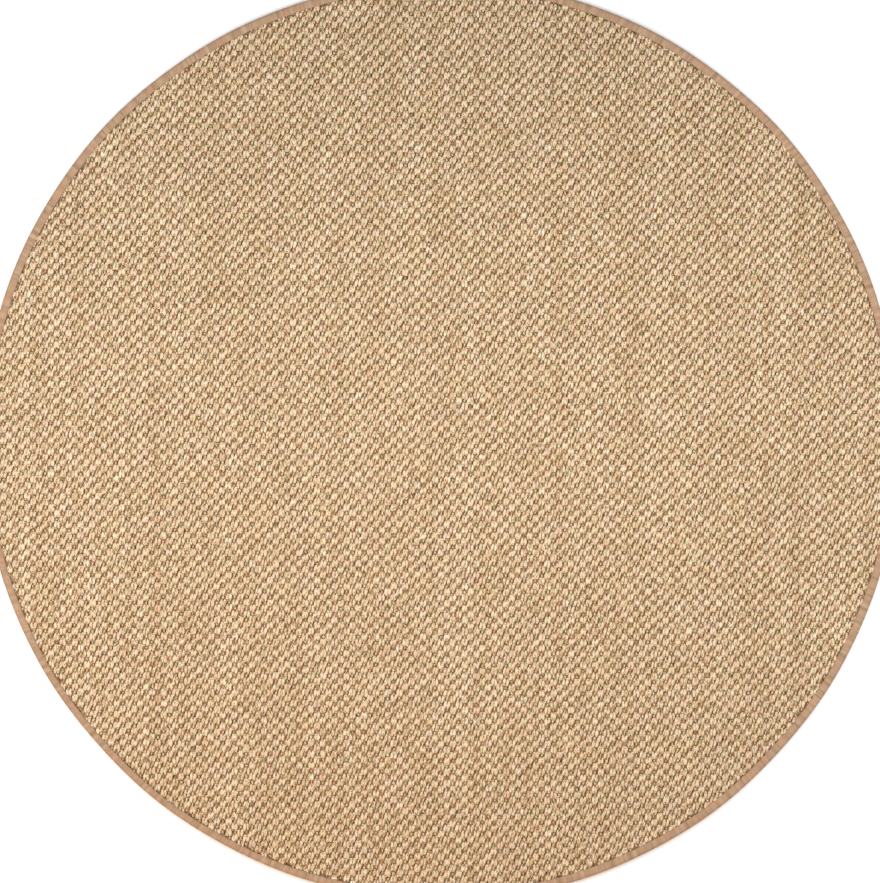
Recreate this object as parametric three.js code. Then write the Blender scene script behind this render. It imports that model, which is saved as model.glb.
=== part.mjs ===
// A round rug of woven sisal, lying flat on the floor. Its cut edge is overcast with matt yarn, laid so
// closely that it makes a smooth narrow band from the top of the weave, round the rim and under it.
// Millimetres, +Z up. The origin is the middle of the underside, on the floor.

import * as THREE from "three";

// Driving dimensions
const rugDiameter = 800;
const weaveThickness = 7; // from the floor to the crowns of the weave
const bandThickness = 0.9; // the overcast yarn
const bandOnTop = 7.8; // how far the band reaches in from the rim, on top
const bandUnder = 8.6; // and underneath
const boundHeight = 7.8; // the finished edge, from the floor to its highest line
const sewnHeight = 7; // top of the band along its inner edge, where the stitches pull it down
const upperCorner = 2.7; // radius on the outside of the band
const lowerCorner = 1.8;
const fitGap = 0.3; // between the band and the weave that it covers

// Beside the band the weave comes up from under the stitches in a short dip. Underneath, it runs down
// to the floor over a longer way.
const dipWidth = 3.2;
const dipStep = 0.9; // how far the first crowns stand clear of the band
const dipShoulder = 6.6; // height of those first crowns
const liftWidth = 14;

// Steps of the round shapes
const turnSteps = 120;
const cornerSteps = 3;

// The rug was cut and bound by hand, so its rim runs a little in and out of the true circle.
// Each row is one wave of the rim: how many crests it has all round, how far it reaches to each side
// of the circle, and the direction of one of its crests in degrees from +X.
const rimWaves = [
  { crests: 2, reach: 0.46, towards: -69 },
  { crests: 3, reach: 0.54, towards: 53 },
  { crests: 5, reach: 0.16, towards: -18 },
  { crests: 11, reach: 0.2, towards: 7 },
  { crests: 19, reach: 0.22, towards: 4 },
];

const rimRadius = rugDiameter / 2;
const quarterTurn = Math.PI / 2;

const sisalFinish = { color: 0xc4a583, roughness: 0.85, metalness: 0 };
const yarnFinish = { color: 0xbd997a, roughness: 0.9, metalness: 0 };

// Points of a round corner in the section, from one angle to another about its centre.
function corner(radius, height, bend, fromAngle, toAngle) {
  const points = [];
  for (let step = 0; step <= cornerSteps; step += 1) {
    const angle = THREE.MathUtils.lerp(fromAngle, toAngle, step / cornerSteps);
    points.push(new THREE.Vector2(radius + bend * Math.cos(angle), height + bend * Math.sin(angle)));
  }
  return points;
}

// The way round the rug's edge in section, from under the rug to its top, at some depth below the
// outside of the band.
function aroundEdge(depth) {
  const low = lowerCorner;
  const high = boundHeight - upperCorner;
  return [
    new THREE.Vector2(rimRadius - bandUnder, depth),
    ...corner(rimRadius - lowerCorner, low, lowerCorner - depth, -quarterTurn, 0),
    ...corner(rimRadius - upperCorner, high, upperCorner - depth, 0, quarterTurn),
    new THREE.Vector2(rimRadius - bandOnTop, sewnHeight - depth),
  ];
}

// How far the rim lies outside the true circle in one direction.
function rimOffset(direction) {
  return rimWaves.reduce((sum, wave) => {
    const crest = THREE.MathUtils.degToRad(wave.towards);
    return sum + wave.reach * Math.cos(wave.crests * (direction - crest));
  }, 0);
}

// Turns a section about the rug's middle, then lets the result follow the uneven rim.
function turned(section) {
  const geometry = new THREE.LatheGeometry(section, turnSteps);
  geometry.rotateX(quarterTurn);
  const position = geometry.getAttribute("position");
  for (let index = 0; index < position.count; index += 1) {
    const x = position.getX(index);
    const y = position.getY(index);
    const stretch = 1 + rimOffset(Math.atan2(y, x)) / rimRadius;
    position.setXY(index, x * stretch, y * stretch);
  }
  geometry.computeVertexNormals();
  return geometry;
}

function piece(name, geometry, finish) {
  const mesh = new THREE.Mesh(geometry, new THREE.MeshStandardMaterial(finish));
  mesh.name = name;
  return mesh;
}

// The woven disc: flat on the floor, held up at its edge by the band under it and pressed down by the
// band on top.
function wovenField() {
  const [underEdge, ...insideBand] = aroundEdge(bandThickness + fitGap);
  const bandEdge = rimRadius - bandOnTop;
  return piece(
    "woven_field",
    turned([
      new THREE.Vector2(0, 0),
      new THREE.Vector2(underEdge.x - liftWidth, 0),
      new THREE.Vector2(underEdge.x - fitGap, underEdge.y),
      ...insideBand,
      new THREE.Vector2(bandEdge - fitGap, insideBand.at(-1).y),
      new THREE.Vector2(bandEdge - dipStep, dipShoulder),
      new THREE.Vector2(bandEdge - dipWidth, weaveThickness),
      new THREE.Vector2(0, weaveThickness),
    ]),
    sisalFinish,
  );
}

// The band: one layer of yarn wrapped round the edge, open towards the rug's middle.
function edgeBinding() {
  const outside = aroundEdge(0);
  const inside = aroundEdge(bandThickness).reverse();
  return piece("edge_binding", turned([...outside, ...inside, outside[0].clone()]), yarnFinish);
}

const roundSisalRug = new THREE.Group();
roundSisalRug.add(wovenField(), edgeBinding());

export default roundSisalRug;
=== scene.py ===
# Round sisal rug: a half-basket weave with an overcast edge, lying on a pale floor, seen from straight above.
import math

import bpy
import numpy as np
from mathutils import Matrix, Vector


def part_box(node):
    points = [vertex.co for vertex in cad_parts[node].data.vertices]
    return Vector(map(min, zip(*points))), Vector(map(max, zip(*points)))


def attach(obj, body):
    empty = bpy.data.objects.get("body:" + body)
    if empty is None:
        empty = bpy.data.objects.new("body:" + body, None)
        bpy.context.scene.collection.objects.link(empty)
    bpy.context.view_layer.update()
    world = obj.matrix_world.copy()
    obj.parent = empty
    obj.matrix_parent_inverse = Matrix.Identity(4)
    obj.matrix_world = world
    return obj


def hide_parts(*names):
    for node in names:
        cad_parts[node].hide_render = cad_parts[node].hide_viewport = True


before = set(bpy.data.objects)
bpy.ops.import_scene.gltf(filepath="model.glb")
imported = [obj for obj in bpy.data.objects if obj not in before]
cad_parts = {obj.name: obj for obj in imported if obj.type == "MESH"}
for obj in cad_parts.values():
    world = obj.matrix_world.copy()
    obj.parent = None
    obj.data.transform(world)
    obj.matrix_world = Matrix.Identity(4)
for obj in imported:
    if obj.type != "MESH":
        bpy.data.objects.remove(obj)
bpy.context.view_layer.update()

mm = 0.001
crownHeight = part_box("woven_field")[1].z  # top of the weave
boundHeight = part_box("edge_binding")[1].z  # top of the finished edge
rimRadius = 400 * mm  # the true circle that the cut edge wanders about


def newObject(name, mesh):
    made = bpy.data.objects.new(name, mesh)
    bpy.context.scene.collection.objects.link(made)
    return made


def meshFrom(name, points, faces, edges=()):
    mesh = bpy.data.meshes.new(name)
    mesh.from_pydata(points, list(edges), faces)
    mesh.update()
    return mesh


def meshArrays(mesh):
    # the vertex at each face corner, and where the vertices are
    corner = np.zeros(len(mesh.loops), int)
    mesh.loops.foreach_get("vertex_index", corner)
    points = np.zeros(len(mesh.vertices) * 3)
    mesh.vertices.foreach_get("co", points)
    return corner, points.reshape(-1, 3)


def triangleCount(mesh):
    return sum(len(face.vertices) - 2 for face in mesh.polygons)


# Nodes
def addNode(tree, kind, settings=None, inputs=None, output=0):
    # one node with its settings; an input is a plain value or the socket that feeds it
    node = tree.nodes.new(kind)
    for name, value in (settings or {}).items():
        setattr(node, name, value)
    for key, value in (inputs or {}).items():
        if isinstance(value, bpy.types.NodeSocket):
            tree.links.new(value, node.inputs[key])
        else:
            node.inputs[key].default_value = value
    return node.outputs[output] if node.outputs else node


def mathsFor(tree, kind="ShaderNodeMath"):
    # a short form for the maths nodes of one tree
    def maths(operation, *values):
        return addNode(tree, kind, {"operation": operation}, dict(enumerate(values)))
    return maths


def lengthOf(tree, vector):
    return addNode(tree, "ShaderNodeVectorMath", {"operation": "LENGTH"}, {0: vector}, "Value")


def addNoise(tree, place, detail, scale=1.0, output="Fac"):
    return addNode(tree, "ShaderNodeTexNoise", None,
                   {"Vector": place, "Scale": scale, "Detail": detail}, output)


def addRange(tree, value, start, end, low=0.0, high=1.0, ease="LINEAR"):
    return addNode(tree, "ShaderNodeMapRange", {"interpolation_type": ease}, {
        "Value": value, "From Min": start, "From Max": end, "To Min": low, "To Max": high})


def linearColour(hexColour):
    parts = [int(hexColour[i:i + 2], 16) / 255 for i in (1, 3, 5)]
    return (*[p / 12.92 if p <= 0.04045 else ((p + 0.055) / 1.055) ** 2.4 for p in parts], 1)


def addRamp(tree, value, colours, low=0.0, high=1.0):
    # the colours at even steps from low to high
    colour = addNode(tree, "ShaderNodeValToRGB", None, {"Fac": value})
    stops = colour.node.color_ramp.elements
    stops[0].position, stops[1].position = low, high
    for step in range(1, len(colours) - 1):
        stops.new(low + (high - low) * step / (len(colours) - 1))
    for stop, hexColour in zip(stops, colours):
        stop.color = linearColour(hexColour)
    return colour


def mixColours(tree, share, under, over, blend="MIX"):
    return addNode(tree, "ShaderNodeMix", {"data_type": "RGBA", "blend_type": blend},
                   {"Factor": share, 6: under, 7: over}, 2)


def newMaterial(name):
    material = bpy.data.materials.new(name)
    material.use_nodes = True
    return material, material.node_tree, material.node_tree.nodes["Principled BSDF"]


def newTree(name, sockets):
    # a Geometry Nodes tree with named inputs; returns it and its input sockets by name
    tree = bpy.data.node_groups.new(name, "GeometryNodeTree")
    for label, (kind, start) in sockets.items():
        socket = tree.interface.new_socket(name=label, in_out="INPUT", socket_type="NodeSocket" + kind)
        if start is not None:
            socket.default_value = start
    tree.interface.new_socket(name="Geometry", in_out="OUTPUT", socket_type="NodeSocketGeometry")
    entry = tree.nodes.new("NodeGroupInput")
    return tree, {socket.name: socket for socket in entry.outputs if socket.name}


def storeValue(tree, geometry, name, value):
    return addNode(tree, "GeometryNodeStoreNamedAttribute", {"data_type": "FLOAT", "domain": "POINT"},
                   {"Geometry": geometry, "Name": name, "Value": value})


def storedValue(tree, name, kind="FLOAT"):
    return addNode(tree, "GeometryNodeInputNamedAttribute", {"data_type": kind}, {"Name": name})


def grow(name, tree, values):
    # runs a tree on an empty mesh and keeps what it makes as a plain mesh
    source = newObject(name + "_source", bpy.data.meshes.new(name + "_source"))
    modifier = source.modifiers.new("grow", "NODES")
    modifier.node_group = tree
    for item in tree.interface.items_tree:
        if item.in_out == "INPUT" and item.name in values:
            modifier[item.identifier] = values[item.name]
    graph = bpy.context.evaluated_depsgraph_get()
    mesh = bpy.data.meshes.new_from_object(
        source.evaluated_get(graph), preserve_all_data_layers=True, depsgraph=graph
    )
    source.modifiers.clear()
    bpy.data.objects.remove(source)
    mesh.name = name
    return mesh


# The rim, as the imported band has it
def rimShape():
    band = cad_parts["edge_binding"].data
    points = np.array([v.co for v in band.vertices])
    reach = np.hypot(points[:, 0], points[:, 1])
    turns = np.round(np.degrees(np.arctan2(points[:, 1], points[:, 0])), 1) % 360
    directions = np.unique(turns)
    return directions, np.array([reach[turns == d].max() for d in directions]) / rimRadius


rimDirections, rimStretch = rimShape()


def followRim(mesh):
    # the pieces are made on the true circle, then stretched a little to the uneven rim
    points = meshArrays(mesh)[1]
    turns = np.degrees(np.arctan2(points[:, 1], points[:, 0])) % 360
    points[:, :2] *= np.interp(turns, rimDirections, rimStretch, period=360)[:, None]
    mesh.vertices.foreach_set("co", points.ravel())
    mesh.update()


paintMap = {
    "topShare": 0.98,  # of the map's width, for what shows from above
    "underFrom": 0.985,  # the hidden undersides go in a strip at its side
    "underShare": 0.014,
}


def mapFromAbove(mesh):
    # the map for painting: the piece seen from above
    corner, points = meshArrays(mesh)
    flat = points[corner, :2]
    flat = (flat - flat.min(0)) / np.ptp(flat, axis=0)
    normals = np.zeros(len(mesh.polygons) * 3)
    mesh.polygons.foreach_get("normal", normals)
    sizes = np.zeros(len(mesh.polygons), int)
    mesh.polygons.foreach_get("loop_total", sizes)
    under = np.repeat(normals.reshape(-1, 3)[:, 2] < 0, sizes)
    strip = paintMap["underFrom"] + paintMap["underShare"] * flat[:, 0]
    flat[:, 0] = np.where(under, strip, paintMap["topShare"] * flat[:, 0])
    layer = mesh.uv_layers.new(name="OFBake")
    layer.data.foreach_set("uv", flat.astype(np.float32).ravel())


# Camera, floor and light
view = {
    "pixels": (880, 883),  # the photograph's frame
    "rugPixels": 920.5,  # the rug's diameter there; it runs out of the frame on all four sides
    "rugMiddle": (440.95, 440.35),  # where its middle is
    "lens": 100,
    "sensor": 36,
}

stage = {
    "floorSize": 12,
    "floorDrop": 0.2 * mm,
    "floorColour": "#fafaf9",
    "floorRoughness": 0.9,
    "skyStrength": 0.64,
    "key": {"place": (-0.22, 0.03, 0.68), "size": (2.4, 0.4), "power": 12.1, "colour": "#f6f9ff"},
    # warm light thrown back from beyond the photograph's lower edge, more from the left
    "bounce": {"place": (-0.45, -0.8, 0.6), "size": (1.2, 0.5), "power": 3.1, "colour": "#ffbf70"},
}


def makeCamera():
    pixel = 2 * rimRadius / view["rugPixels"]
    width, height = view["pixels"]
    data = bpy.data.cameras.new("camera")
    data.lens = view["lens"]
    data.sensor_width = view["sensor"]
    camera = newObject("camera", data)
    camera.location = (
        (width / 2 - view["rugMiddle"][0]) * pixel,
        (view["rugMiddle"][1] - height / 2) * pixel,
        crownHeight + max(view["pixels"]) * pixel * view["lens"] / view["sensor"],
    )
    bpy.context.scene.camera = camera


def softLight(name, values):
    data = bpy.data.lights.new(name, "AREA")
    data.shape = "RECTANGLE"
    data.size, data.size_y = values["size"]
    data.energy = values["power"]
    data.color = linearColour(values["colour"])[:3]
    light = newObject(name, data)
    light.location = values["place"]
    light.visible_camera = False


def makeStage():
    half = stage["floorSize"] / 2
    corners = [(-half, -half, 0), (half, -half, 0), (half, half, 0), (-half, half, 0)]
    floor = newObject("floor", meshFrom("floor", corners, [(0, 1, 2, 3)]))
    floor.location.z = -stage["floorDrop"]
    paint, _, shader = newMaterial("white paper")
    shader.inputs["Base Color"].default_value = linearColour(stage["floorColour"])
    shader.inputs["Roughness"].default_value = stage["floorRoughness"]
    floor.data.materials.append(paint)

    world = bpy.data.worlds.new("soft room")
    world.use_nodes = True
    sky = world.node_tree.nodes["Background"]
    sky.inputs["Color"].default_value = (1, 1, 1, 1)
    sky.inputs["Strength"].default_value = stage["skyStrength"]
    bpy.context.scene.world = world

    softLight("key", stage["key"])
    softLight("bounce", stage["bounce"])
    bpy.context.scene.view_settings.view_transform = "Standard"


makeCamera()
makeStage()
print("camera, floor and light are up")

# The weave
weave = {
    "pairPitch": 5.14 * mm,  # from one pair of warp yarns to the next, across the rug
    "pickPitch": 4.885 * mm,  # from one weft yarn to the next, along the rug
    "groundHeight": 4.3 * mm,  # how deep the eye sees between the yarns
    "fieldRadius": 394.4 * mm,  # the last floats, half under the band
    "pressFrom": 388.5 * mm,  # there the band's stitches begin to pull the weave down
    "pressTo": 392.4 * mm,
    "pressed": 0.72,
    "wander": 1.3 * mm,  # how far the yarns run out of line
    "wanderLength": 70 * mm,
    "ragged": 0.12 * mm,  # how far each corner of a float strays
}

# The part of a warp yarn that shows where it floats over a weft yarn, one row for each ring along it:
# place along the yarn, half width, height of its crest over the ground, and how far the crest sits aside.
# The first and last row are its two tips, sunk in the ground. All in mm.
warpShapes = {
    "plain": [(-4.35, 0, -0.4, 0), (-3.05, 1.25, 1.5, 0), (-1.15, 1.58, 2.62, 0), (1.15, 1.58, 2.66, 0),
              (3.05, 1.25, 1.55, 0), (4.35, 0, -0.4, 0)],
    "full": [(-4.15, 0, -0.4, 0.1), (-3.05, 1.38, 1.8, 0.1), (-1.1, 1.66, 2.7, 0.05), (1.2, 1.56, 2.55, 0),
             (3.05, 1.18, 1.45, -0.1), (4.45, 0, -0.4, -0.1)],
    "slack": [(-4.45, 0, -0.4, -0.1), (-3.05, 1.18, 1.4, -0.15), (-1.0, 1.54, 2.4, -0.1),
              (1.25, 1.62, 2.72, 0.1), (3.05, 1.35, 1.7, 0.15), (4.2, 0, -0.4, 0.1)],
}
warpSection = [(-1, 2.2), (-0.8, 0.6), (0, 0), (0.8, 0.6), (1, 2.2)]  # share of half width, drop below crest

# The short piece of weft yarn that shows in each pit between the warp floats, a low ridge over a foot
# with six corners. All in mm.
weftShapes = {
    "plain": {"length": 3.3, "width": 4.4, "ridge": 1.6, "height": 1.7},
    "thin": {"length": 2.9, "width": 3.8, "ridge": 1.2, "height": 1.4},
}
weftCorner = 0.55  # share of the foot's half length at its four side corners
weftSunk = 0.3


def warpFloat(name, rings):
    points, faces, across = [], [], len(warpSection)
    for along, half, crest, aside in rings[1:-1]:
        for share, drop in warpSection:
            points.append(((aside + share * half) * mm, along * mm, (crest - drop) * mm))
    for ring in range(len(rings) - 3):
        for step in range(across):
            here, beside = ring * across + step, ring * across + (step + 1) % across
            faces.append((here, beside, beside + across, here + across))
    for tip, first in ((rings[0], 0), (rings[-1], (len(rings) - 3) * across)):
        points.append((tip[3] * mm, tip[0] * mm, tip[2] * mm))
        for step in range(across):
            edge = (first + step, first + (step + 1) % across)
            faces.append((*(edge if first else edge[::-1]), len(points) - 1))
    return bpy.data.objects.new(name, meshFrom(name, points, faces))


def weftFloat(name, size):
    half, side, ridge = size["length"] / 2, size["width"] / 2, size["ridge"] / 2
    near = half * weftCorner
    foot = [(half, 0), (near, side), (-near, side), (-half, 0), (-near, -side), (near, -side)]
    points = [(x * mm, y * mm, -weftSunk * mm) for x, y in foot]
    points += [(0, ridge * mm, size["height"] * mm), (0, -ridge * mm, size["height"] * mm)]
    faces = [(5, 4, 3, 2, 1, 0), (1, 2, 6), (0, 1, 6), (2, 3, 6), (0, 6, 7), (3, 7, 6), (5, 0, 7)]
    faces += [(3, 4, 7), (4, 5, 7)]
    return bpy.data.objects.new(name, meshFrom(name, points, faces))


def shapeSet(name, shapes, maker):
    # the shapes that the nodes pick from; the set itself stays out of the scene
    kept = bpy.data.collections.new(name)
    for label, sizes in shapes.items():
        kept.objects.link(maker(name + "_" + label, sizes))
    return kept


def weaveTree():
    tree, given = newTree("weave of floats", {
        "Shapes": ("Collection", None),
        "Shape Count": ("Int", 3),
        "Material": ("Material", None),
        "Pair Pitch": ("Float", weave["pairPitch"]),
        "Pick Pitch": ("Float", weave["pickPitch"]),
        "Field Radius": ("Float", weave["fieldRadius"]),
        "From": ("Float", -1.0),
        "To": ("Float", 1.0),
        "Under": ("Int", 0),  # 0 for the sites where the warp is on top, 1 for those where the weft is
        "Yarns": ("Int", 2),
        "Yarn Pitch": ("Float", 2.7 * mm),
        "Ground": ("Float", weave["groundHeight"]),
        "Wander": ("Float", weave["wander"]),
        "Wander Length": ("Float", weave["wanderLength"]),
        "Jitter": ("Float", 0.2 * mm),
        "Lean": ("Float", 0.0),
        "Lean Spread": ("Float", 0.1),
        "Tilt Spread": ("Float", 0.05),
        "Size Spread": ("Vector", (0.06, 0.06, 0.06)),
        "Ragged": ("Float", weave["ragged"]),
        "Press From": ("Float", weave["pressFrom"]),
        "Press To": ("Float", weave["pressTo"]),
        "Pressed": ("Float", weave["pressed"]),
        "Seed": ("Int", 1),
    })
    maths = mathsFor(tree)
    vectors = mathsFor(tree, "ShaderNodeVectorMath")

    def chance(kind, low, high, step, output):
        ports = {"FLOAT": (2, 3), "FLOAT_VECTOR": (0, 1), "INT": (4, 5)}[kind]
        seed = maths("ADD", given["Seed"], step)
        return addNode(tree, "FunctionNodeRandomValue", {"data_type": kind},
                       {ports[0]: low, ports[1]: high, 8: seed}, output)

    def stepsOver(pitch):
        return maths("MULTIPLY", maths("CEIL", maths("DIVIDE", given["Field Radius"], given[pitch])), 2.0)

    # every crossing of a warp pair with a weft yarn
    across = stepsOver("Pair Pitch")
    along = stepsOver("Pick Pitch")
    crossings = addNode(tree, "GeometryNodeMeshGrid", None, {
        "Size X": maths("MULTIPLY", across, given["Pair Pitch"]),
        "Size Y": maths("MULTIPLY", along, given["Pick Pitch"]),
        "Vertices X": maths("ADD", across, 1.0),
        "Vertices Y": maths("ADD", along, 1.0),
    })
    place = addNode(tree, "GeometryNodeInputPosition")
    apart = addNode(tree, "ShaderNodeSeparateXYZ", None, {0: place}).node.outputs
    column = maths("ROUND", maths("DIVIDE", apart["X"], given["Pair Pitch"]))
    row = maths("ROUND", maths("DIVIDE", apart["Y"], given["Pick Pitch"]))

    # the warp is on top at every second crossing, the weft at the others
    turn = maths("FLOORED_MODULO", maths("ADD", maths("ADD", column, row), given["Under"]), 2.0)
    outside = maths("GREATER_THAN", lengthOf(tree, place), given["Field Radius"])
    before = maths("LESS_THAN", apart["X"], given["From"])
    past = maths("GREATER_THAN", apart["X"], given["To"])
    unwanted = maths("ADD", maths("ADD", turn, outside), maths("ADD", before, past))
    yarn = addNode(tree, "ShaderNodeMix", {"data_type": "FLOAT"},
                   {"Factor": given["Under"], 2: column, 3: row})
    points = addNode(tree, "GeometryNodeMeshToPoints", None, {"Mesh": crossings})
    points = storeValue(tree, points, "yarn", yarn)
    points = storeValue(tree, points, "pair", chance("FLOAT", 0.0, 1.0, 1, 1))
    points = addNode(tree, "GeometryNodeDeleteGeometry", {"domain": "POINT"},
                     {"Geometry": points, "Selection": maths("GREATER_THAN", unwanted, 0.5)})

    # the yarns run a little out of line
    drift = addNoise(tree, vectors("DIVIDE", place, given["Wander Length"]), 1.0, output="Color")
    drift = vectors("MULTIPLY", vectors("SUBTRACT", drift, (0.5, 0.5, 0.5)), given["Wander"])
    drift = vectors("MULTIPLY", drift, (1, 1, 0))
    points = addNode(tree, "GeometryNodeSetPosition", None, {"Geometry": points, "Offset": drift})

    # the yarns of a pair lie side by side
    twins = addNode(tree, "GeometryNodeDuplicateElements", {"domain": "POINT"},
                    {"Geometry": points, "Amount": given["Yarns"]}).node.outputs
    middle = maths("MULTIPLY", maths("SUBTRACT", given["Yarns"], 1.0), 0.5)
    aside = maths("MULTIPLY", maths("SUBTRACT", twins[1], middle), given["Yarn Pitch"])
    aside = addNode(tree, "ShaderNodeCombineXYZ", None, {"X": aside, "Z": given["Ground"]})
    loose = vectors("MULTIPLY", chance("FLOAT_VECTOR", (-1, -1, 0), (1, 1, 0), 2, 0), given["Jitter"])
    points = addNode(tree, "GeometryNodeSetPosition", None,
                     {"Geometry": twins[0], "Offset": vectors("ADD", aside, loose)})
    lane = maths("ADD", maths("MULTIPLY", storedValue(tree, "yarn"), given["Yarns"]), twins[1])
    points = storeValue(tree, points, "yarn", lane)
    points = storeValue(tree, points, "strand", chance("FLOAT", 0.0, 1.0, 3, 1))

    # one float on each point
    lean = maths("MULTIPLY_ADD", chance("FLOAT", -1.0, 1.0, 4, 1), given["Lean Spread"], given["Lean"])
    tilt = maths("MULTIPLY", chance("FLOAT", -1.0, 1.0, 5, 1), given["Tilt Spread"])
    turned = addNode(tree, "ShaderNodeCombineXYZ", None, {"X": tilt, "Z": lean})
    sized = chance("FLOAT_VECTOR", (-1, -1, -1), (1, 1, 1), 6, 0)
    shapes = addNode(tree, "GeometryNodeCollectionInfo", None,
                     {"Collection": given["Shapes"], "Separate Children": True, "Reset Children": True})
    last = maths("SUBTRACT", given["Shape Count"], 1.0)
    floats = addNode(tree, "GeometryNodeInstanceOnPoints", None, {
        "Points": points, "Instance": shapes, "Pick Instance": True,
        "Instance Index": chance("INT", 0, last, 7, 2),
        "Rotation": addNode(tree, "FunctionNodeEulerToRotation", None, {0: turned}),
        "Scale": vectors("MULTIPLY_ADD", sized, given["Size Spread"], (1, 1, 1)),
    })
    floats = addNode(tree, "GeometryNodeRealizeInstances", None, {"Geometry": floats})
    rough = vectors("MULTIPLY", chance("FLOAT_VECTOR", (-1, -1, -1), (1, 1, 1), 8, 0), given["Ragged"])
    floats = addNode(tree, "GeometryNodeSetPosition", None, {"Geometry": floats, "Offset": rough})

    # beside the band its stitches press them down
    reach = lengthOf(tree, vectors("MULTIPLY", place, (1, 1, 0)))
    squeeze = addRange(tree, reach, given["Press From"], given["Press To"],
                       1.0, given["Pressed"], "SMOOTHSTEP")
    height = maths("SUBTRACT", apart["Z"], given["Ground"])
    height = maths("MULTIPLY_ADD", height, squeeze, given["Ground"])
    pressed = addNode(tree, "ShaderNodeCombineXYZ", None, {"X": apart["X"], "Y": apart["Y"], "Z": height})
    floats = addNode(tree, "GeometryNodeSetPosition", None, {"Geometry": floats, "Position": pressed})
    floats = addNode(tree, "GeometryNodeSetShadeSmooth", None, {"Geometry": floats})
    floats = addNode(tree, "GeometryNodeSetMaterial", None,
                     {"Geometry": floats, "Material": given["Material"]})
    addNode(tree, "NodeGroupOutput", None, {0: floats})
    return tree


# Sisal: coarse, dry leaf fibre, spun into a hairy twisted yarn that was never dyed. The eye sees dull cream
# crowns, no two quite alike; painted shade turns them brown where the yarns dive between each other.
sisalLooks = {
    "warp": {
        "tones": ["#cbb295", "#ebddc9"],  # darkest and palest yarn
        "bleach": ["#fffff3", "#ffffff"],  # some bumps are yellower, some greyer
        "tints": ["#fff0e9", "#fafff4"],  # pinkish and greenish straw
        "tufts": ["#beac90", "#ffffff"],  # between the tufts of fibre, and on them
        "paintedShades": ["#6b3f2a", "#53421f"],  # pinkish and greenish painted shade, where the yarn dives
        "clear": (0.2, 1.5),  # mm above the ground between which the yarn comes out of the painted shade
        "weights": {"lane": 0.24, "run": 0.35, "bale": 0.58, "pair": 0.16, "strand": 0.18},
        "frayed": 2.8,  # mm, how far the tufts break up the edge of the shade
    },
    "weft": {
        "tones": ["#c5ad90", "#e8d8bd"],
        "bleach": ["#fffff6", "#ffffff"],
        "tints": ["#ffe0d4", "#f8ffee"],
        "tufts": ["#b8a488", "#ffffff"],
        # painted shade where the weft dives between the warps
        "paintedShades": ["#8a583f", "#706036"],
        "clear": (0.1, 0.9),
        "weights": {"lane": 0.2, "run": 0.2, "bale": 0.2, "pair": 0.2, "strand": 0.5},
        "frayed": 1.6,
    },
}

fibre = {
    "width": 0.62 * mm,  # the real fibres are 0.2 mm; these are tufts of them, which still show from above
    "length": 4 * mm,
    "twist": math.radians(-12),
    "tuftNoise": (0.37, 0.53),  # values of the noise between which a tuft begins
    "relief": 0.25 * mm,
    "bump": 0.6,
    "dull": 0.95,  # roughness between the tufts
    "worn": 0.15,  # how much smoother they are on top
    "run": 40 * mm,  # the length over which a yarn changes its tone
    "floatsApart": 90.0,  # in the noise, so that neighbours differ
    "yarnsApart": 7.31,
    "patch": (5 * mm, 6 * mm, 1),  # in which the sisal is pinker or greener
    "patchNoise": (0.28, 0.72),
    "bale": (16 * mm, 500 * mm, 1),  # how wide and how long the streaks are
}


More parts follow.
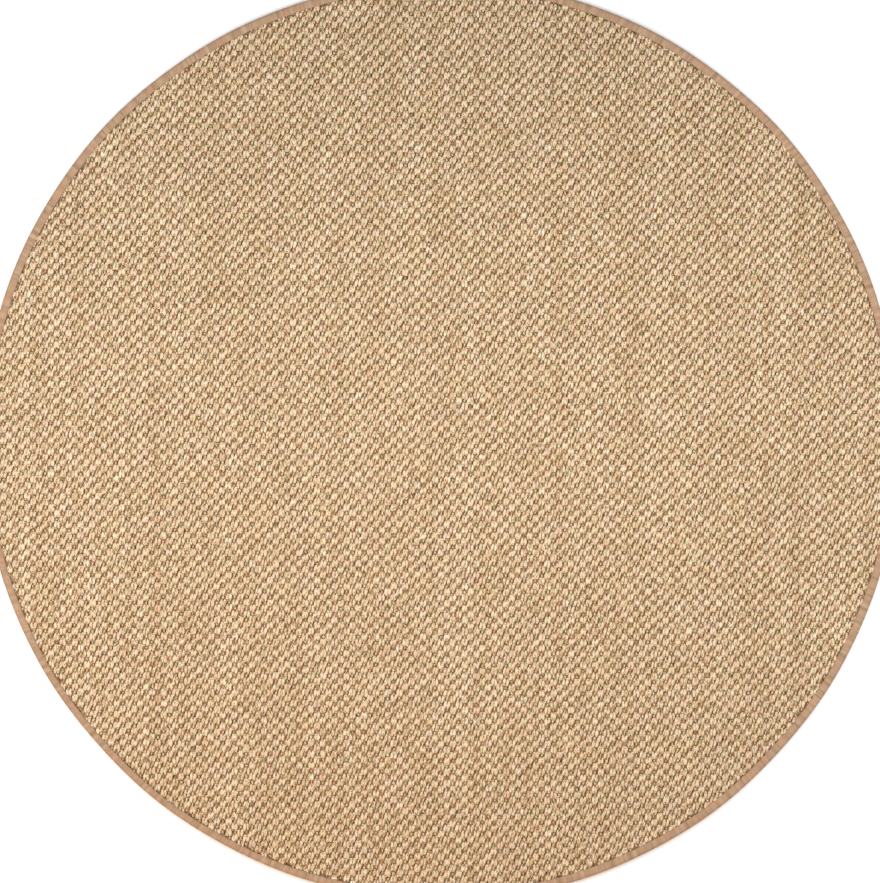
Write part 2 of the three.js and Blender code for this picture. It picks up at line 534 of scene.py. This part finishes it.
def sisalMaterial(name, look):
    material, tree, shader = newMaterial(name)
    maths = mathsFor(tree)
    vectors = mathsFor(tree, "ShaderNodeVectorMath")
    place = addNode(tree, "ShaderNodeTexCoord", output="Object")
    apart = addNode(tree, "ShaderNodeSeparateXYZ", None, {0: place}).node.outputs
    lane, pair, strand = [addNode(tree, "ShaderNodeAttribute", {"attribute_name": label}, output="Fac")
                          for label in ("yarn", "pair", "strand")]

    # tufts of fibre, along the twist and different on each float
    laid = addNode(tree, "ShaderNodeMapping", {"vector_type": "TEXTURE"}, {
        "Vector": place, "Rotation": (0, 0, fibre["twist"]),
        "Scale": (fibre["width"], fibre["length"], fibre["width"])})
    own = addNode(tree, "ShaderNodeCombineXYZ", None, {"Z": maths("MULTIPLY", strand, fibre["floatsApart"])})
    tufts = addNoise(tree, vectors("ADD", laid, own), 2.0)
    tufts = addRange(tree, tufts, *fibre["tuftNoise"], ease="SMOOTHSTEP")

    # the yarn's own tone, how it changes along the yarn, and each float's own; lengths of yarn from one
    # bale lie together, so the rug has faint long streaks
    aside = maths("MULTIPLY", lane, fibre["yarnsApart"])
    along = maths("DIVIDE", apart["Y"], fibre["run"])
    sources = {
        "lane": addNode(tree, "ShaderNodeTexWhiteNoise", {"noise_dimensions": "1D"}, {"W": lane}),
        "run": addNoise(tree, addNode(tree, "ShaderNodeCombineXYZ", None, {"X": aside, "Y": along}), 1.0),
        "bale": addNoise(tree, vectors("DIVIDE", place, fibre["bale"]), 2.0),
        "pair": pair,
        "strand": strand,
    }
    tone = 0.5 - 0.5 * sum(look["weights"].values())
    for label, weight in look["weights"].items():
        tone = maths("MULTIPLY_ADD", sources[label], weight, tone)
    hue = addRange(tree, addNoise(tree, vectors("DIVIDE", place, fibre["patch"]), 1.0), *fibre["patchNoise"])
    colour = addRamp(tree, tone, look["tones"])
    for value, colours in ((hue, look["tints"]), (pair, look["bleach"]), (tufts, look["tufts"])):
        colour = mixColours(tree, 1.0, colour, addRamp(tree, value, colours), "MULTIPLY")

    # painted shade: brown where the yarn dives
    frayed = maths("MULTIPLY_ADD", maths("SUBTRACT", tufts, 0.5), look["frayed"] * mm, apart["Z"])
    low, high = [weave["groundHeight"] + height * mm for height in look["clear"]]
    clear = addRange(tree, frayed, low, high, ease="SMOOTHSTEP")
    colour = mixColours(tree, clear, addRamp(tree, hue, look["paintedShades"]), colour)
    tree.links.new(colour, shader.inputs["Base Color"])
    roughness = maths("MULTIPLY_ADD", tufts, -fibre["worn"], fibre["dull"])
    tree.links.new(roughness, shader.inputs["Roughness"])
    relief = addNode(tree, "ShaderNodeBump", None,
                     {"Strength": fibre["bump"], "Distance": fibre["relief"], "Height": tufts})
    tree.links.new(relief, shader.inputs["Normal"])
    shader.inputs["Specular IOR Level"].default_value = 0  # hairs hide what gloss the fibre has
    return material


def addFloats(mesh):
    followRim(mesh)
    mapFromAbove(mesh)
    piece = newObject(mesh.name, mesh)
    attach(piece, "root")
    print(piece.name, triangleCount(mesh), "triangles")
    return piece


# Warp floats, in five lengthwise strips
warp = {
    "yarnPitch": 2.7 * mm,
    "lean": math.radians(-9),
    "leanSpread": math.radians(6),
    "tiltSpread": math.radians(4),
    "sizeSpread": (0.1, 0.07, 0.07),
    "jitter": 0.24 * mm,
    "seed": 31,
    "strips": (-78, -37.5, -12.5, 12.5, 37.5, 78),  # between these pairs, about a fifth of the floats each
}

tree = weaveTree()
warpSet = shapeSet("warp_float", warpShapes, warpFloat)
warpFinish = sisalMaterial("undyed sisal warp", sisalLooks["warp"])
for number, (start, end) in enumerate(zip(warp["strips"], warp["strips"][1:]), 1):
    addFloats(grow(f"warp_floats_{number}", tree, {
        "Shapes": warpSet, "Shape Count": len(warpShapes), "Material": warpFinish,
        "From": start * weave["pairPitch"], "To": end * weave["pairPitch"],
        "Yarns": 2, "Yarn Pitch": warp["yarnPitch"], "Jitter": warp["jitter"],
        "Lean": warp["lean"], "Lean Spread": warp["leanSpread"], "Tilt Spread": warp["tiltSpread"],
        "Size Spread": warp["sizeSpread"], "Seed": warp["seed"],
    }))

# Weft floats, one in each pit
weft = {
    "jitter": 0.4 * mm,
    "leanSpread": math.radians(20),
    "sizeSpread": (0.25, 0.25, 0.4),
    "seed": 57,
}

weftSet = shapeSet("weft_float", weftShapes, weftFloat)
weftFinish = sisalMaterial("undyed sisal weft", sisalLooks["weft"])
addFloats(grow("weft_floats", tree, {
    "Shapes": weftSet, "Shape Count": len(weftShapes), "Material": weftFinish,
    "Under": 1, "Yarns": 1, "Jitter": weft["jitter"],
    "Lean": 0.0, "Lean Spread": weft["leanSpread"], "Tilt Spread": 0.0,
    "Size Spread": weft["sizeSpread"], "Seed": weft["seed"],
}))

# The ground of the weave: the yarns below the floats, one flat sheet, coloured dark as painted shade
ground = {
    "steps": 200,
    "innerRings": (90, 180, 270, 350),  # mm, so that no face is too long
    "topEdge": 397.4 * mm,  # inside the band
    "rimEdge": 398.3 * mm,
    "bevel": 1 * mm,
    "underBevel": 0.8 * mm,
    "underEdge": 391.1 * mm,
    "lift": 1.2 * mm,  # over the band's lower turn
    "liftFrom": 377 * mm,
    # painted shade: darker than the yarns above it, mottled from near black to tan
    "colours": ["#3b2610", "#886543", "#c8aa82"],
    "colourNoise": (0.3, 0.7),
    "spot": (1.3 * mm, 3.5 * mm, 1),
    "roughness": 0.9,
    "gloss": 0.2,
}


def groundMesh():
    top, rings = weave["groundHeight"], [r * mm for r in ground["innerRings"]]
    lift, rim, bevel = ground["lift"], ground["rimEdge"], ground["bevel"]
    section = [(r, top) for r in rings] + [(ground["topEdge"], top), (rim, top - bevel)]
    section += [(rim, lift + ground["underBevel"]), (rim - bevel, lift), (ground["underEdge"], lift)]
    section += [(r, 0) for r in (ground["liftFrom"], *reversed(rings))]
    steps, points, faces = ground["steps"], [], []
    for radius, height in section:
        for step in range(steps):
            angle = 2 * math.pi * step / steps
            points.append((radius * math.cos(angle), radius * math.sin(angle), height))
    for ring in range(len(section) - 1):
        for step in range(steps):
            here, beside = ring * steps + step, ring * steps + (step + 1) % steps
            faces.append((here, here + steps, beside + steps, beside))
    points += [(0, 0, top), (0, 0, 0)]
    last = (len(section) - 1) * steps
    for step in range(steps):
        beside = (step + 1) % steps
        faces.append((step, beside, len(points) - 2))
        faces.append((last + beside, last + step, len(points) - 1))
    return meshFrom("woven_ground", points, faces)


def groundMaterial():
    # the same yarns between the floats, coloured dark brown as painted shade, and the plain back of the weave
    material, tree, shader = newMaterial("undyed sisal ground")
    place = addNode(tree, "ShaderNodeTexCoord", output="Object")
    spots = mathsFor(tree, "ShaderNodeVectorMath")("DIVIDE", place, ground["spot"])
    colour = addRamp(tree, addNoise(tree, spots, 3.0), ground["colours"], *ground["colourNoise"])
    tree.links.new(colour, shader.inputs["Base Color"])
    shader.inputs["Roughness"].default_value = ground["roughness"]
    shader.inputs["Specular IOR Level"].default_value = ground["gloss"]
    return material


mesh = groundMesh()
mesh.materials.append(groundMaterial())
followRim(mesh)
mapFromAbove(mesh)
wovenGround = newObject(mesh.name, mesh)
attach(wovenGround, "root")
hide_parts("woven_field")
print(mesh.name, triangleCount(mesh), "triangles")

# The band of overcast yarn
band = {
    "turns": 1760,  # of yarn, all round
    "onTop": 7.5 * mm,  # how far it reaches in from the rim
    "under": 8.6 * mm,
    "sewnHeight": 7 * mm,
    "upperCorner": 2.7 * mm,
    "lowerCorner": 1.8 * mm,
    "thickness": 0.9 * mm,
    "topFrom": 5 * mm,  # what is higher counts as its top
    "ribDepth": 0.16 * mm,  # of the grooves between the turns
    "uneven": 0.14,  # share of a turn that each strays along the rim
    "bulge": 0.05 * mm,  # how much further in some turns lie
    "slant": 0.5 * mm,  # from the inner edge on top to the rim
    "narrowed": 0.14,  # share of its width on top that it loses at the lower left
    "narrowedTowards": math.radians(226),
    "ripple": 0.42 * mm,  # the weave's relief, felt through the yarn
    "rippleRight": 0.3,  # share of it that is left on the rug's right side
    "rippleFrom": 1 * mm,  # inward of the rim
    "rippleFull": 3.5 * mm,
    "seed": 12,
    "mapRows": 16,
}


def bandSection():
    # from the inner edge on top, round the rim and back inside: how far out from the rim, how high, and how
    # much of the turns' relief a point has
    deep, inner, top = band["thickness"], -band["onTop"], band["sewnHeight"]
    upper, lower = band["upperCorner"], band["lowerCorner"]
    high = boundHeight - upper
    rows = [(inner - 0.1 * mm, top - 1.3 * mm, 0.3), (inner + 0.3 * mm, top - 0.5 * mm, 1)]
    for radius, middle, angles in ((upper, high, (90, 60, 30, 0)), (lower, lower, (0, -45, -90))):
        for angle in map(math.radians, angles):
            rows.append((radius * (math.cos(angle) - 1), middle + radius * math.sin(angle), 1))
    rows += [(-band["under"], 0, 1), (-band["under"], deep, 0), (-lower, deep, 0)]
    rows += [(-deep - 0.3 * mm, high - 0.4 * mm, 0), (-upper, boundHeight - deep - 0.1 * mm, 0)]
    return rows


def bandProfile():
    rows = bandSection()
    around = [(i, (i + 1) % len(rows)) for i in range(len(rows))]
    mesh = meshFrom("band_section", [(out, up, 0) for out, up, _ in rows], [], around)
    outer = mesh.attributes.new("outer", "FLOAT", "POINT")
    outer.data.foreach_set("value", [relief for _, _, relief in rows])
    place = mesh.attributes.new("section", "FLOAT_VECTOR", "POINT")
    place.data.foreach_set("vector", [value for out, up, _ in rows for value in (out, up, 0)])
    way = mesh.attributes.new("way", "FLOAT", "POINT")
    way.data.foreach_set("value", [i / len(rows) for i in range(len(rows))])
    return bpy.data.objects.new("band_section", mesh)


def bandTree():
    tree, given = newTree("overcast edge", {
        "Section": ("Object", None),
        "Material": ("Material", None),
        "Turns": ("Int", band["turns"]),
        "Rim Radius": ("Float", rimRadius),
        "Rib Depth": ("Float", band["ribDepth"]),
        "Uneven": ("Float", band["uneven"]),
        "Bulge": ("Float", band["bulge"]),
        "Slant": ("Float", band["slant"]),
        "Narrowed": ("Float", band["narrowed"]),
        "Ripple": ("Float", band["ripple"]),
        "Pair Pitch": ("Float", weave["pairPitch"]),
        "Pick Pitch": ("Float", weave["pickPitch"]),
        "Seed": ("Int", band["seed"]),
    })
    maths = mathsFor(tree)

    # two steps round the rim for each turn of yarn: its crest and the groove beside it
    rim = addNode(tree, "GeometryNodeCurvePrimitiveCircle", None,
                  {"Resolution": maths("MULTIPLY", given["Turns"], 2.0), "Radius": given["Rim Radius"]})
    index = addNode(tree, "GeometryNodeInputIndex")
    rim = storeValue(tree, rim, "turn", maths("FLOOR", maths("MULTIPLY", index, 0.5)))
    rim = storeValue(tree, rim, "groove", maths("FLOORED_MODULO", index, 2.0))
    stray = addNode(tree, "FunctionNodeRandomValue", {"data_type": "FLOAT"},
                    {2: maths("MULTIPLY", given["Uneven"], -1.0), 3: given["Uneven"], 8: given["Seed"]}, 1)
    step = maths("DIVIDE", 2 * math.pi, given["Turns"])
    rim = storeValue(tree, rim, "angle", maths("MULTIPLY", maths("MULTIPLY_ADD", index, 0.5, stray), step))
    section = addNode(tree, "GeometryNodeObjectInfo", None, {"Object": given["Section"]}, "Geometry")
    section = addNode(tree, "GeometryNodeMeshToCurve", None, {"Mesh": section})
    skin = addNode(tree, "GeometryNodeCurveToMesh", None, {"Curve": rim, "Profile Curve": section})

    # each point to its own place round the edge
    angle = storedValue(tree, "angle")
    apart = addNode(tree, "ShaderNodeSeparateXYZ", None, {0: storedValue(tree, "section", "FLOAT_VECTOR")})
    out, up = apart.node.outputs["X"], apart.node.outputs["Y"]
    onTop = maths("GREATER_THAN", up, band["topFrom"])
    lowerLeft = maths("MAXIMUM", maths("COSINE", maths("SUBTRACT", angle, band["narrowedTowards"])), 0.0)
    narrowed = maths("MULTIPLY", maths("MULTIPLY", maths("POWER", lowerLeft, 3.0), given["Narrowed"]), onTop)
    reach = maths("ADD", given["Rim Radius"], maths("MULTIPLY", out, maths("SUBTRACT", 1.0, narrowed)))
    slope = maths("MULTIPLY", given["Slant"], maths("DIVIDE", out, -band["onTop"]))
    slant = maths("DIVIDE", maths("MULTIPLY", slope, onTop), given["Rim Radius"])
    way = maths("ADD", angle, slant)
    place = addNode(tree, "ShaderNodeCombineXYZ", None, {
        "X": maths("MULTIPLY", reach, maths("COSINE", way)),
        "Y": maths("MULTIPLY", reach, maths("SINE", way)),
        "Z": up})
    skin = addNode(tree, "GeometryNodeSetPosition", None, {"Geometry": skin, "Position": place})

    # grooves between the turns, turns that stand out more or less, and the weave felt from below
    position = addNode(tree, "GeometryNodeInputPosition")
    here = addNode(tree, "ShaderNodeSeparateXYZ", None, {0: position}).node.outputs
    columns, rows = [maths("COSINE", maths("DIVIDE", maths("MULTIPLY", here[axis], math.pi), given[pitch]))
                     for axis, pitch in (("X", "Pair Pitch"), ("Y", "Pick Pitch"))]
    felt = maths("MULTIPLY", maths("MULTIPLY", columns, rows), given["Ripple"])
    half = 0.5 * rimRadius
    strength = addRange(tree, here["X"], -half, half, 1.0, band["rippleRight"])
    inward = addRange(tree, out, -band["rippleFrom"], -band["rippleFull"])
    felt = maths("MULTIPLY", maths("MULTIPLY", felt, strength), inward)
    proud = addNode(tree, "FunctionNodeRandomValue", {"data_type": "FLOAT"}, {
        2: -1.0, 3: 0.0, "ID": storedValue(tree, "turn"), 8: maths("ADD", given["Seed"], 1.0)}, 1)
    proud = maths("MULTIPLY", proud, given["Bulge"])
    groove = maths("MULTIPLY", maths("MULTIPLY", storedValue(tree, "groove"), given["Rib Depth"]), -1.0)
    relief = maths("MULTIPLY", maths("ADD", maths("ADD", groove, proud), felt), storedValue(tree, "outer"))
    push = addNode(tree, "ShaderNodeVectorMath", {"operation": "SCALE"},
                   {0: addNode(tree, "GeometryNodeInputNormal"), "Scale": relief})
    skin = addNode(tree, "GeometryNodeSetPosition", None, {"Geometry": skin, "Offset": push})
    skin = addNode(tree, "GeometryNodeSetShadeSmooth", None, {"Geometry": skin})
    skin = addNode(tree, "GeometryNodeRealizeInstances", None, {"Geometry": skin})
    skin = addNode(tree, "GeometryNodeSetMaterial", None, {"Geometry": skin, "Material": given["Material"]})
    addNode(tree, "NodeGroupOutput", None, {0: skin})
    return tree


# Overcast yarn: matt spun polyester, laid turn by turn round the edge. The eye sees a soft tan band with
# fine strokes across it and slow pinkish and straw patches, and hardly any gloss; painted shade darkens the
# grooves between the turns.
yarnLook = {
    "tones": ["#896e54", "#a08569", "#b5997d"],
    "toneRange": (0.1, 0.9),
    "base": -0.45,
    "weights": {"patches": 0.6, "strokes": 1.0, "turn": 0.3},
    "patchSize": 7 * mm,
    "strokeScale": 0.35,  # neighbouring turns are one length of yarn and keep its tone, as soft strokes
    "pink": "#b48068",
    "pinkSize": 5 * mm,
    "pinkNoise": (0.48, 0.72),
    "pinkMost": 0.55,
    # painted shade in the grooves between the turns: its colour, and how much of it
    "groove": "#89694f",
    "grooveShadeShare": 0.35,
    "roughness": 0.92,
    "gloss": 0.2,
    "fuzzSize": 0.5 * mm,
    "fuzzDepth": 0.08 * mm,
    "fuzzBump": 0.4,
}


def yarnMaterial():
    material, tree, shader = newMaterial("matt overcast yarn")
    maths = mathsFor(tree)
    place = addNode(tree, "ShaderNodeTexCoord", output="Object")
    turn = addNode(tree, "ShaderNodeAttribute", {"attribute_name": "turn"}, output="Fac")
    turn = maths("FLOOR", turn)
    groove = addNode(tree, "ShaderNodeAttribute", {"attribute_name": "groove"}, output="Fac")
    sources = {
        "patches": addNoise(tree, place, 2.0, 1 / yarnLook["patchSize"]),
        "strokes": addNode(tree, "ShaderNodeTexNoise", {"noise_dimensions": "1D"},
                           {"W": turn, "Scale": yarnLook["strokeScale"], "Detail": 1.0}),
        "turn": addNode(tree, "ShaderNodeTexWhiteNoise", {"noise_dimensions": "1D"}, {"W": turn}),
    }
    tone = yarnLook["base"]
    for label, weight in yarnLook["weights"].items():
        tone = maths("MULTIPLY_ADD", sources[label], weight, tone)
    colour = addRamp(tree, tone, yarnLook["tones"], *yarnLook["toneRange"])
    pink = addNoise(tree, place, 1.0, 1 / yarnLook["pinkSize"])
    pink = addRange(tree, pink, *yarnLook["pinkNoise"], 0.0, yarnLook["pinkMost"])
    colour = mixColours(tree, pink, colour, linearColour(yarnLook["pink"]))
    # painted shade in the grooves between the turns
    sunk = maths("MULTIPLY", groove, yarnLook["grooveShadeShare"])
    colour = mixColours(tree, sunk, colour, linearColour(yarnLook["groove"]))
    tree.links.new(colour, shader.inputs["Base Color"])
    shader.inputs["Roughness"].default_value = yarnLook["roughness"]
    shader.inputs["Specular IOR Level"].default_value = yarnLook["gloss"]
    fuzz = addNoise(tree, place, 2.0, 1 / yarnLook["fuzzSize"])
    relief = addNode(tree, "ShaderNodeBump", None,
                     {"Strength": yarnLook["fuzzBump"], "Distance": yarnLook["fuzzDepth"], "Height": fuzz})
    tree.links.new(relief, shader.inputs["Normal"])
    return material


def mapAlongRim(mesh):
    # the map for painting: equal lengths of the band, one above the other
    lengths = band["mapRows"]
    corner, points = meshArrays(mesh)
    starts = np.zeros(len(mesh.polygons), int)
    mesh.polygons.foreach_get("loop_start", starts)
    sizes = np.diff(np.append(starts, len(corner)))
    middles = np.add.reduceat(points[corner], starts) / sizes[:, None]
    row = np.floor(np.arctan2(middles[:, 1], middles[:, 0]) / (2 * math.pi) % 1 * lengths).repeat(sizes)
    along = (np.arctan2(points[:, 1], points[:, 0]) / (2 * math.pi) % 1 * lengths)[corner] - row
    along = (along + lengths / 2) % lengths - lengths / 2
    way = np.zeros(len(points))
    mesh.attributes["way"].data.foreach_get("value", way)
    way = way[corner]
    # the faces that close the section run from its last point to its first
    closing = (np.maximum.reduceat(way, starts) - np.minimum.reduceat(way, starts) > 0.5).repeat(sizes)
    way += closing & (way < 0.5)
    layer = mesh.uv_layers.new(name="OFBake")
    flat = np.column_stack([along.clip(0, 1), (row + way) / lengths])
    layer.data.foreach_set("uv", flat.astype(np.float32).ravel())


mesh = grow("overcast_band", bandTree(), {"Section": bandProfile(), "Material": yarnMaterial()})
followRim(mesh)
mapAlongRim(mesh)
overcastBand = newObject(mesh.name, mesh)
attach(overcastBand, "root")
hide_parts("edge_binding")
print(mesh.name, triangleCount(mesh), "triangles")
